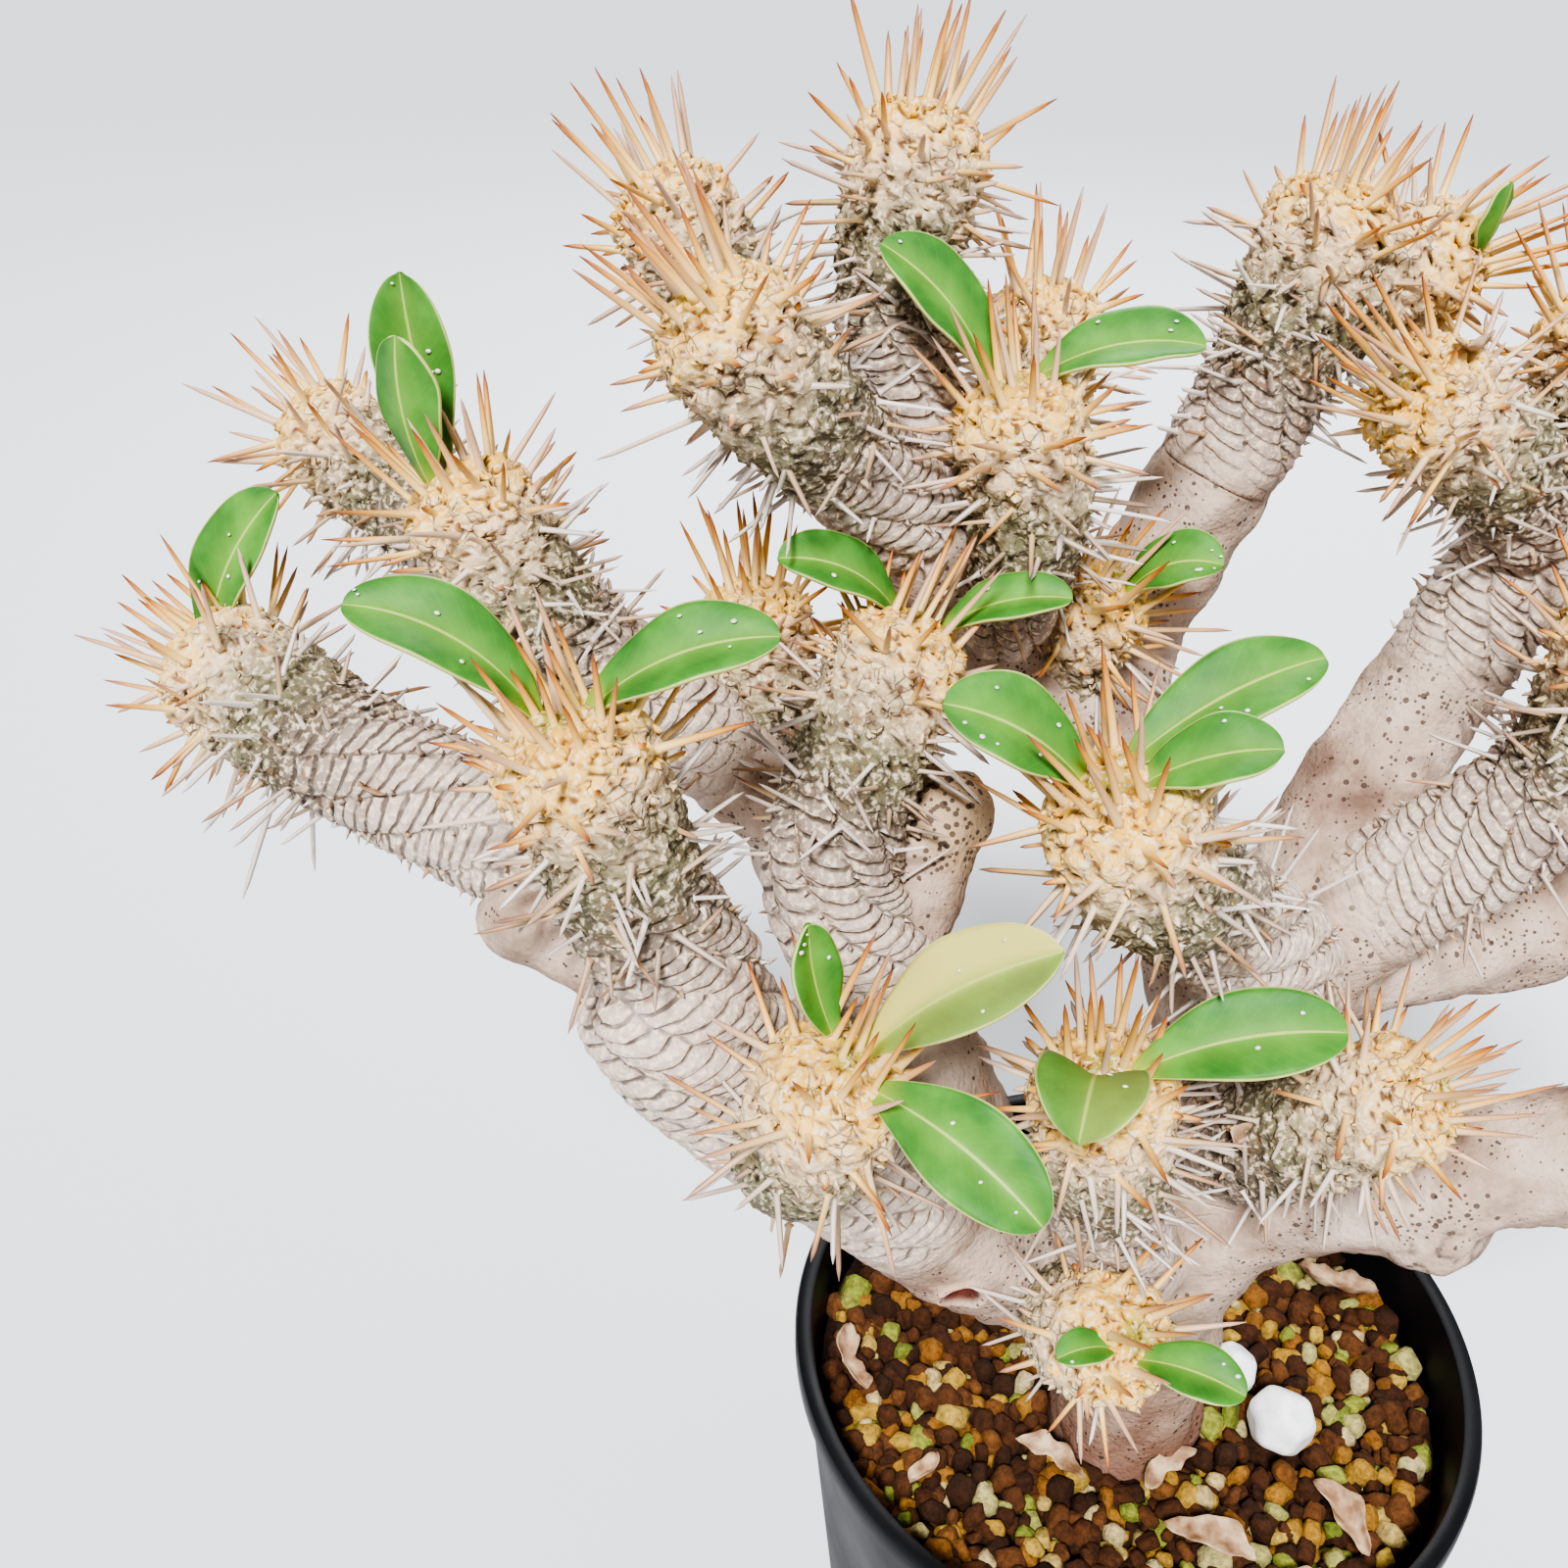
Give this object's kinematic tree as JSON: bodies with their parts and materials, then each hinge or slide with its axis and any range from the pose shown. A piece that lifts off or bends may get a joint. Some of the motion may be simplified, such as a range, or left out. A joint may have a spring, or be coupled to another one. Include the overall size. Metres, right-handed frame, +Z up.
{
  "type": "potted euphorbia guillauminiana",
  "caption": "Spiny many-branched succulent shrub with small folded leaves at its tips, planted in gritty soil in a round tapered black plastic pot.",
  "frame": {"origin": "centre of the pot's flat underside", "axes": "+Z up along the pot's axis, +X to the right and -Y towards the viewer in the reference view"},
  "size_m": [0.2961, 0.1408, 0.3215],
  "materials": {
    "pot": "black moulded polypropylene with a satin skin",
    "soil": "loose baked clay grains in brown, yellow, cream and green",
    "pellet": "dull white pressed pellet",
    "bark": "smooth beige-grey succulent bark with fine dark pits and stepped leaf scars",
    "shoot": "warty cream to grey skin with straw to orange-brown spines",
    "leaf": "leathery mid-green blade with a pale yellow rib and margin"
  },
  "bodies": {
    "root": {"pot": "pot", "soil": "soil", "pellet_large": "pellet", "pellet_small": "pellet", "trunk": "bark", "shoot_01": "shoot", "shoot_02": "shoot", "shoot_03": "shoot", "shoot_04": "shoot", "shoot_05": "shoot", "shoot_06": "shoot", "shoot_07": "shoot", "shoot_08": "shoot", "shoot_09": "shoot", "shoot_10": "shoot", "shoot_11": "shoot", "shoot_12": "shoot", "shoot_13": "shoot", "shoot_14": "shoot", "shoot_16": "shoot", "shoot_17": "shoot", "shoot_18": "shoot", "shoot_19": "shoot", "shoot_20": "shoot", "shoot_21": "shoot", "shoot_22": "shoot", "shoot_23": "shoot", "shoot_24": "shoot", "shoot_25": "shoot", "shoot_26": "shoot", "leaf_01": "leaf", "leaf_02": "leaf", "leaf_03": "leaf", "leaf_04": "leaf", "leaf_05": "leaf", "leaf_06": "leaf", "leaf_07": "leaf", "leaf_08": "leaf", "leaf_09": "leaf", "leaf_10": "leaf", "leaf_11": "leaf", "leaf_12": "leaf", "leaf_13": "leaf", "leaf_14": "leaf", "leaf_15": "leaf", "leaf_16": "leaf", "leaf_17": "leaf", "leaf_18": "leaf", "leaf_19": "leaf", "leaf_20": "leaf", "leaf_21": "leaf", "leaf_22": "leaf", "leaf_23": "leaf", "leaf_24": "leaf", "leaf_25": "leaf"}
  },
  "joints": []
}
